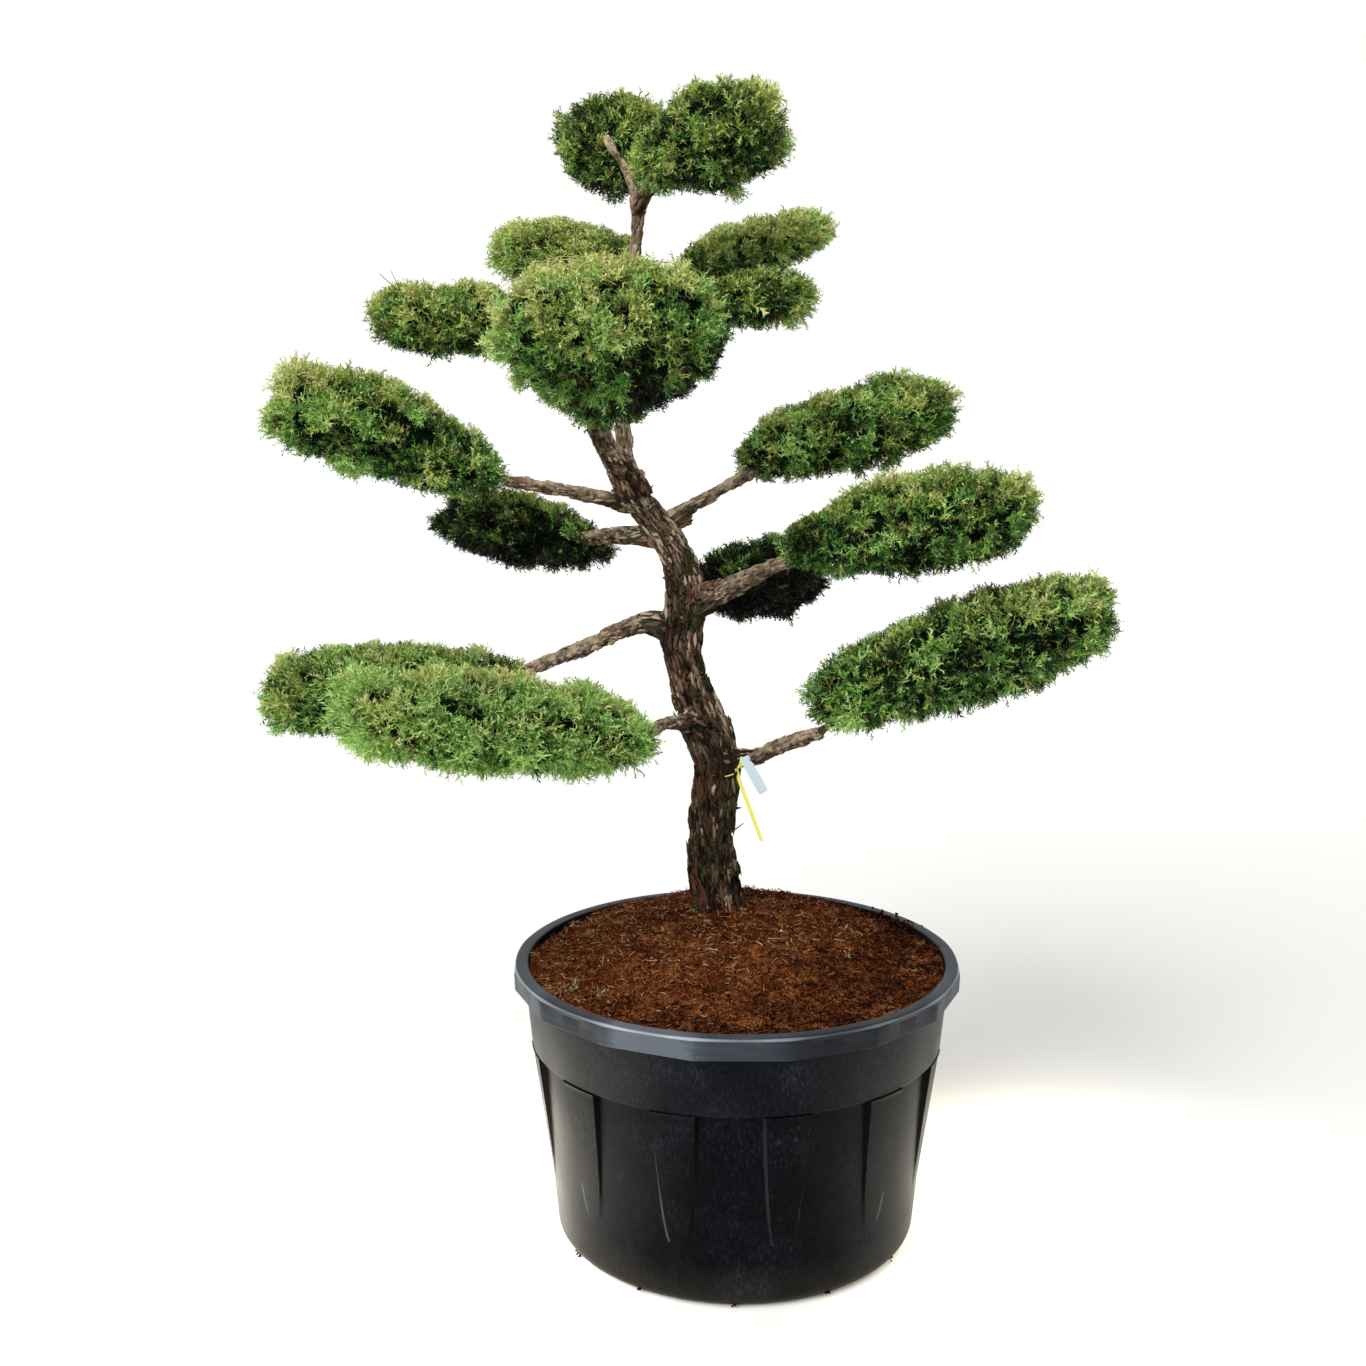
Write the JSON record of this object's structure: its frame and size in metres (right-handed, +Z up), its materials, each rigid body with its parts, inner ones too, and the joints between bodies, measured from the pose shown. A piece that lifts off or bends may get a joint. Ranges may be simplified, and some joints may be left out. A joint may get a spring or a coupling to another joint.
{
  "type": "cloud pruned topiary",
  "caption": "Cloud pruned evergreen tree with a bent bark trunk and clipped foliage pads on separate boughs, standing in a round black nursery pot of peat",
  "frame": {"origin": "centre of the pot's flat underside, at floor level", "axes": "+Z is up through the pot and the tree, -Y is the side shown in the picture, and +X is to the right as seen from that side"},
  "size_m": [1.3431, 0.8239, 1.7737],
  "materials": {
    "pot_plastic": "satin blue-black with scuffs",
    "peat": "fibrous and rough",
    "bark": "stringy, cracked in long plates",
    "foliage": "fine matt needles",
    "tie_plastic": "smooth",
    "tag_plastic": "smooth"
  },
  "bodies": {
    "root": {"pot": "pot_plastic", "peat": "peat", "trunk": "bark", "bough_back_left_upper": "bark", "bough_crown_right": "bark", "bough_front_centre": "bark", "bough_left_dark": "bark", "bough_left_long": "bark", "bough_left_upper": "bark", "bough_low_left_back": "bark", "bough_low_left_front": "bark", "bough_right_A": "bark", "bough_right_B": "bark", "bough_right_C": "bark", "bough_right_back": "bark", "bough_right_upper": "bark", "bough_right_upper_back": "bark", "foliage_back_left_upper": "foliage", "foliage_crown_right": "foliage", "foliage_front_centre": "foliage", "foliage_left_dark": "foliage", "foliage_left_long": "foliage", "foliage_left_upper": "foliage", "foliage_low_left_back": "foliage", "foliage_low_left_front": "foliage", "foliage_right_A": "foliage", "foliage_right_B": "foliage", "foliage_right_C": "foliage", "foliage_right_back": "foliage", "foliage_right_upper": "foliage", "foliage_right_upper_back": "foliage", "foliage_crown_left": "foliage", "label_tie": "tie_plastic", "label_tag": "tag_plastic"}
  },
  "joints": []
}
